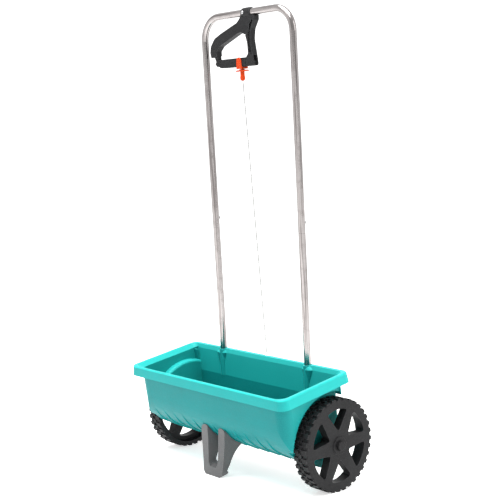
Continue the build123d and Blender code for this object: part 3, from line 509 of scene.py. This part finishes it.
# A paler nylon colour for random flecks and for edges painted lighter, partly as wear and partly as
# painted highlight.
NYLON_PALE_WEAR_AND_HIGHLIGHT = (0.75, 0.74, 0.70, 1)
coat(moulded("bush_plastic", NYLON, NYLON_DEEP, NYLON_PALE_WEAR_AND_HIGHLIGHT, 0.4), "bush_left", "bush_right")
DARK = (0.012, 0.012, 0.0128, 1)
DARK_DEEP = (0.0075, 0.0075, 0.008, 1)
# A dark grey for random flecks and for edges painted lighter, partly as scuffs and partly as painted
# highlight.
DARK_PALE_WEAR_AND_HIGHLIGHT = (0.09, 0.09, 0.095, 1)
mechanism_finish = moulded("mechanism_plastic", DARK, DARK_DEEP, DARK_PALE_WEAR_AND_HIGHLIGHT, 0.5)
coat(mechanism_finish, "agitator", "paddles", "shutter")

# --- Wheels -------------------------------------------------------------------------------------------
# Two matt black mouldings with six deep spokes. The edges of their lugs, spokes and hub are painted grey,
# partly as scuffs and partly as painted highlight. A domed cap closes each end of the axle.

wheel_finish = moulded("wheel_plastic", DARK, DARK_DEEP, DARK_PALE_WEAR_AND_HIGHLIGHT, 0.42)
coat(wheel_finish, "wheel_left", "wheel_right", "hub_cap_left", "hub_cap_right")

# --- Handle tubes -------------------------------------------------------------------------------------
# Chromed steel tube: two lower tubes and the bent bow. Painted reflection streaks run along them, light
# and dark bands round each tube, and the plating has a slightly warm, cloudy tone.

PIN_X, PIN_S = 15.0, 668.0
CROSSBAR_S = 778.0
UPRIGHT_X = 146.0
BEND_R = 52.0

# The handle's plane: x across, s up the handle, and forward, out of it towards the front, all in mm.
joint = {row["name"]: row for row in frame["joints"]}
pin = Vector(joint["trigger_squeeze"]["pos_m"])
up = Vector(joint["nut_turn"]["axis"]).normalized()
forward = -Vector(joint["trigger_squeeze"]["axis"]).normalized()


def on_handle(x, s, out=0.0):
    """The point at width x and height s along the handle, so far in front of its plane."""
    return pin + Vector((x - PIN_X, 0, 0)) * MM + up * ((s - PIN_S) * MM) + forward * (out * MM)


CHROME = (0.38, 0.355, 0.35, 1)
CHROME_SHADE = (0.13, 0.115, 0.112, 1)
CHROME_CLOUD = (0.16, 0.14, 0.135, 1)
chrome_finish = Finish("chrome_tube", Metallic=1.0)
foot_of_plane = on_handle(0, 0)
from_plane = chrome_finish.add(
    "ShaderNodeVectorMath", {"operation": "SUBTRACT"}, {0: chrome_finish.place, 1: foot_of_plane})


def along(axis):
    """How far the place on the tube lies from the handle's foot along a direction, in metres."""
    return chrome_finish.add(
        "ShaderNodeVectorMath", {"operation": "DOT_PRODUCT"}, {0: from_plane, 1: axis}, output="Value")


# How far the place lies outside the bent centreline, measured in the handle's plane.
beyond_x = chrome_finish.add("ShaderNodeMath", {"operation": "ABSOLUTE"}, {0: chrome_finish.part("X")})
beyond_x = beyond_x - (UPRIGHT_X - BEND_R) * MM
beyond_s = along(up) - (CROSSBAR_S - BEND_R) * MM
nearest = chrome_finish.add("ShaderNodeCombineXYZ", {}, {
    "X": beyond_x.math("MAXIMUM", beyond_x, 0.0), "Y": beyond_s.math("MAXIMUM", beyond_s, 0.0)})
outside = chrome_finish.add("ShaderNodeVectorMath", {"operation": "LENGTH"}, {0: nearest}, output="Value")
section = chrome_finish.add("ShaderNodeCombineXYZ", {}, {
    "X": outside, "Y": along(forward), "Z": (along(up) + chrome_finish.part("X")) * 0.02})
# Painted reflection: streaks along each tube, light and dark by the place round its section, mixed from
# the chrome colour towards its shade colour.
reflection_streaks = chrome_finish.noise(260, 3, section)
mottle = chrome_finish.noise(55, 5).from_to(0.45, 0.8)
chrome_tone = chrome_finish.mixed(reflection_streaks.from_to(0.46, 0.66) * 0.8, CHROME, CHROME_SHADE)
chrome_finish.set("Base Color", chrome_finish.mixed(mottle * 0.4, chrome_tone, CHROME_CLOUD))
chrome_finish.set("Roughness", 0.13 + mottle * 0.15)
coat(chrome_finish, "lower_tube_left", "lower_tube_right", "handle_bow")

# --- Grip ---------------------------------------------------------------------------------------------
# Two black mouldings. The front piece is clamped round the crossbar by one screw and forms the palm rest
# and the guard. The arm behind it is channelled, and ends in a clevis for the trigger's pin.

GRIP_HALF = 7.5
GUARD_HALF = 5.5
FORK_HALF = 4.6
GRIP_ROUNDING = 2.0

PALM_REST = (
    (16, 778, 0), (16, 760, 0), (13.2, 745, 0), (8, 731, 4), (-0.5, 730.5, 3), (-12, 736.5, 4),
    (-25, 734, 20), (-86, 711, 11), (-97.5, 700, 3), (-97.5, 690, 0), (-109, 688.5, 2), (-118, 686, 3),
    (-121, 698, 10), (-118, 713, 16), (-104, 729, 16), (-83, 738, 22), (-24, 758, 16), (-14, 767, 8),
    (-8, 778, 0))
GUARD_HEEL = ((-98, 712, 0), (-97, 664.5, 2), (-102, 666.3, 2), (-107.5, 672, 1), (-103.7, 676.5, 2),
              (-109.5, 690, 0), (-109.5, 705, 0))
HEAD = (
    (0, -9), (7.5, -9), (9.6, -8), (10.6, -5.5), (10.9, 0), (10.9, 15), (10.6, 18.5), (9.6, 21), (7.5, 22),
    (0, 22))
right = Vector((1, 0, 0))
crossbar_start = on_handle(-60, CROSSBAR_S)
tube_bore = ((0, 0), (8.05, 0), (8.05, 120), (0, 120))
frame_mesh = combined(
    plate(rounded(PALM_REST), -GRIP_HALF, GRIP_HALF, on_handle),
    ("UNION", plate(rounded(GUARD_HEEL), -GUARD_HALF, GUARD_HALF, on_handle)),
    ("UNION", turned(HEAD, on_handle(0, CROSSBAR_S), right)),
    ("DIFFERENCE", turned(tube_bore, crossbar_start, right)))
grip_finish = moulded("grip_plastic", DARK, DARK_DEEP, DARK_PALE_WEAR_AND_HIGHLIGHT, 0.42, edge_radius=0.0006)
dressed("grip_front", frame_mesh, grip_finish, "machine", ["grip_frame"], GRIP_ROUNDING, 4)

ARM = (
    (25.5, 661, 4), (24.5, 674, 30), (17, 720, 30), (21, 741, 14), (33.5, 760, 5), (34, 771, 3),
    (16.4, 771, 0), (16.4, 760, 0), (13.8, 745, 0), (8.6, 730.5, 0), (1.2, 730.2, 2), (7, 711, 30),
    (8, 688, 6), (1.5, 681, 2), (-2.2, 674, 6), (-2.4, 668, 6), (-0.8, 661, 1))
CHANNELS = (
    ((10.5, 735, 0), (14, 735, 0), (13.2, 712, 40), (14.4, 690, 1), (11.2, 690, 1), (10.6, 712, 40)),
    ((16.5, 752, 1), (29, 764, 1.5), (27.5, 757, 2), (17.3, 738, 10), (15.4, 715, 30), (19.6, 686, 1),
     (16.6, 686, 1), (14.0, 715, 30), (15.2, 740, 10)))
CHANNEL_TOP = 12
CHANNEL_FLOORS = (3.5, 2.5)
FORK = ((-10, 655, 0), (30, 655, 0), (30, 684, 0), (-10, 684, 0))
arm_mesh = combined(
    plate(rounded(ARM), -GRIP_HALF, GRIP_HALF, on_handle),
    ("DIFFERENCE", plate(rounded(CHANNELS[0]), CHANNEL_FLOORS[0], CHANNEL_TOP, on_handle)),
    ("DIFFERENCE", plate(rounded(CHANNELS[1]), CHANNEL_FLOORS[1], CHANNEL_TOP, on_handle)),
    ("DIFFERENCE", plate(rounded(FORK), -FORK_HALF, FORK_HALF, on_handle)),
    ("DIFFERENCE", turned(tube_bore, crossbar_start, right)))
dressed("grip_rear_arm", arm_mesh, grip_finish, "machine", ["grip_arm"], 0.8)

# --- Trigger ------------------------------------------------------------------------------------------
# A black moulded bar under the finger opening. Its tongue turns on a steel pin in the arm's clevis.

TRIGGER_HALF = 8.0
TONGUE_HALF = 4.2
BAR = ((6, 680.5, 0), (6, 661, 0), (-86, 661.3, 14), (-96, 668, 3), (-96, 680.5, 3))
TONGUE = (
    (-8, 661.7, 0), (PIN_X, 661.7, 0), (21.5, 664, 4), (21.5, 672, 4), (PIN_X, 674.3, 0), (-8, 674.3, 0))
PIVOT_R = 18.0
pivot_room = ((0, -20), (PIVOT_R, -20), (PIVOT_R, 20), (0, 20))
bar_mesh = combined(
    plate(rounded(BAR), -TRIGGER_HALF, TRIGGER_HALF, on_handle),
    ("DIFFERENCE", turned(pivot_room, pin, forward, steps=96)),
    ("UNION", plate(rounded(TONGUE), -TONGUE_HALF, TONGUE_HALF, on_handle)))
dressed("trigger_bar", bar_mesh, grip_finish, "trigger_bar", ["trigger"], 1.8, 4)

# --- Cord adjuster ------------------------------------------------------------------------------------
# Glossy orange plastic: a saddle hooked over the trigger's bar, and under it a winged nut on the
# saddle's stem that takes up the cord.

ORANGE = (0.50, 0.045, 0.005, 1)
ORANGE_DEEP = (0.38, 0.028, 0.004, 1)
# A paler orange for random flecks and for edges painted lighter, partly as wear and partly as painted
# highlight.
ORANGE_PALE_WEAR_AND_HIGHLIGHT = (0.85, 0.16, 0.04, 1)
ADJUSTER_X = -22.0
SADDLE_HALF = 9.9
BAR_ROOM_HALF = 8.1
STEM_FOOT = 641
SADDLE = (
    (-31, 656.2, 1), (-13, 656.2, 1), (-14, 668, 30), (-14.6, 681.5, 6.5), (-29.4, 681.5, 6.5),
    (-30, 668, 30))
orange_finish = moulded("adjuster_plastic", ORANGE, ORANGE_DEEP, ORANGE_PALE_WEAR_AND_HIGHLIGHT, 0.22, 0.00001, 0.0005)
orange_finish.shader.inputs["Subsurface Weight"].default_value = 0.15
orange_finish.shader.inputs["Subsurface Scale"].default_value = 0.002
bar_room = ((-40, 660.4, 0), (-4, 660.4, 0), (-4, 700, 0), (-40, 700, 0))
stem = ((0, 0), (2.4, 0), (3.0, 0.6), (3.0, 16), (0, 16))
saddle_mesh = combined(
    plate(rounded(SADDLE), -SADDLE_HALF, SADDLE_HALF, on_handle),
    ("DIFFERENCE", plate(rounded(bar_room), -BAR_ROOM_HALF, BAR_ROOM_HALF, on_handle)),
    ("UNION", turned(stem, on_handle(ADJUSTER_X, STEM_FOOT), up)))
dressed(
    "cord_saddle", saddle_mesh, orange_finish, "trigger_bar", ["adjuster_saddle"], 0.7, 3)

# The nut's outside, as (radius, height, rounding), from its mouth up to its top. The collar, wings, bore
# and mouth are (radius, height), and a rib is (distance out, height, rounding).
NUT = (
    (0, 630, 0), (3.4, 630, 1), (5.5, 632.4, 2.2), (5.9, 637.5, 3), (4.9, 642, 3), (5.0, 648, 2),
    (5.0, 652, 0), (0, 652, 0))
COLLAR = ((0, 651.2), (7.2, 651.2), (7.2, 654.6), (6.6, 655.2), (0, 655.2))
NUT_BORE = ((0, 641), (3.15, 641), (3.15, 660), (0, 660))
NUT_MOUTH = ((0, 625), (2.6, 625), (1.6, 634), (1.6, 642), (0, 642))
RIB = ((3.5, 634, 0), (6.6, 637, 1), (6.4, 651, 0), (3.5, 651, 0))
RIB_HALF = 0.9
WING_SQUEEZE = 0.36
nut_foot = on_handle(ADJUSTER_X, 0)
nut_profile = [(p.x, p.y) for p in rounded(NUT)]
wing = ((0, 650.4), (17, 650.4), (20.6, 650.8), (21.4, 652.0), (20.6, 653.2), (17, 653.7), (0, 653.7))
ribs = []
for side in (-1, 1):
    outline = [(ADJUSTER_X + side * out, s, radius) for out, s, radius in RIB]
    ribs.append(plate(rounded(outline), -RIB_HALF, RIB_HALF, on_handle))
nut_mesh = combined(
    turned(nut_profile, nut_foot, up, steps=64),
    ("UNION", turned(COLLAR, nut_foot, up, steps=64)),
    ("UNION", turned(wing, nut_foot, up, steps=64, squeeze=WING_SQUEEZE)),
    ("UNION", ribs[0]),
    ("UNION", ribs[1]),
    ("DIFFERENCE", turned(NUT_BORE, nut_foot, up)),
    ("DIFFERENCE", turned(NUT_MOUTH, nut_foot, up)))
dressed("winged_nut", nut_mesh, orange_finish, "cord_nut", ["adjuster_nut"], 0.5, 2)

# --- Cord ---------------------------------------------------------------------------------------------
# A thin braided cord. It is pulled straight from the nut's mouth, through the notch in the rim, to the
# eye in the shutter's tab, and a crimped steel nipple stops it there.

CORD_DIAMETER = 0.0018
CORD_TOP_S = 632.5
CORD_TAIL = 0.0065
STRAND_DARK = (0.09, 0.09, 0.09, 1)
STRAND_LIGHT = (0.26, 0.26, 0.25, 1)
cord_finish = Finish("braided_cord", Roughness=0.75)
strands = cord_finish.add("ShaderNodeTexWave", {"bands_direction": "DIAGONAL"}, {
    "Vector": cord_finish.stretched((1, 1, 0.6)), "Scale": 260.0, "Distortion": 0.6})
cord_tone = strands.from_to(0.2, 0.8)
cord_finish.set("Base Color", cord_finish.mixed(cord_tone, STRAND_DARK, STRAND_LIGHT))
cord_finish.set("Normal", cord_finish.bump(cord_tone, 0.00015))
cord_top = on_handle(ADJUSTER_X, CORD_TOP_S)
eye = Vector(joint["cord_follow"]["pos_m"])
cord_way = (eye - cord_top).normalized()
cord_end = eye + cord_way * CORD_TAIL
route = bpy.data.curves.new("cord", "CURVE")
route.dimensions = "3D"
route.bevel_depth = CORD_DIAMETER / 2
route.bevel_resolution = 3
route.use_fill_caps = True
strand = route.splines.new("NURBS")
strand.points.add(2)
for point, place in zip(strand.points, (cord_top, (cord_top + cord_end) / 2, cord_end)):
    point.co = (*place, 1)
strand.order_u = 3
strand.use_endpoint_u = True
route.materials.append(cord_finish.material)
cord = bpy.data.objects.new("pull_line", route)
bpy.context.scene.collection.objects.link(cord)
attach(cord, "cord_line")
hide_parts("pull_cord")
(cord_end - cord_top).length

# --- Return spring ------------------------------------------------------------------------------------
# A small coil of steel wire between the hopper's shelf and the shutter's tab, with flattened end turns.

WIRE_R = 0.0005
SPRING_TURNS = 7.5
END_TURNS = 1.0
STEPS_A_TURN = 24
low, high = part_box("return_spring")
coil_r = (high.x - low.x) / 2 - WIRE_R
spring_steps = round(SPRING_TURNS * STEPS_A_TURN)
coil = bpy.data.curves.new("coil", "CURVE")
coil.dimensions = "3D"
coil.bevel_depth = WIRE_R
coil.bevel_resolution = 3
coil.use_fill_caps = True
wire = coil.splines.new("POLY")
wire.points.add(spring_steps)
spring_low = Vector(((low.x + high.x) / 2, high.y - coil_r - WIRE_R, low.z + 2 * WIRE_R))
spring_high = Vector(((low.x + high.x) / 2, low.y + coil_r + WIRE_R, high.z - 2 * WIRE_R))
spring_axis = (spring_high - spring_low).normalized()
spring_side = Vector((1, 0, 0))
spring_across = spring_axis.cross(spring_side)
for n, point in enumerate(wire.points):
    turn = SPRING_TURNS * n / spring_steps
    share = min(max((turn - END_TURNS) / (SPRING_TURNS - 2 * END_TURNS), 0), 1)
    angle = 2 * pi * turn
    middle = spring_low.lerp(spring_high, share)
    point.co = (*(middle + (spring_side * cos(angle) + spring_across * sin(angle)) * coil_r), 1)
coil_object = bpy.data.objects.new("coil", coil)
bpy.context.scene.collection.objects.link(coil_object)
graph = bpy.context.evaluated_depsgraph_get()
spring_mesh = bpy.data.meshes.new_from_object(coil_object.evaluated_get(graph))
bpy.data.objects.remove(coil_object)
spring = dressed("shutter_spring", spring_mesh, steel_finish, "machine", ["return_spring"])
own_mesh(spring)
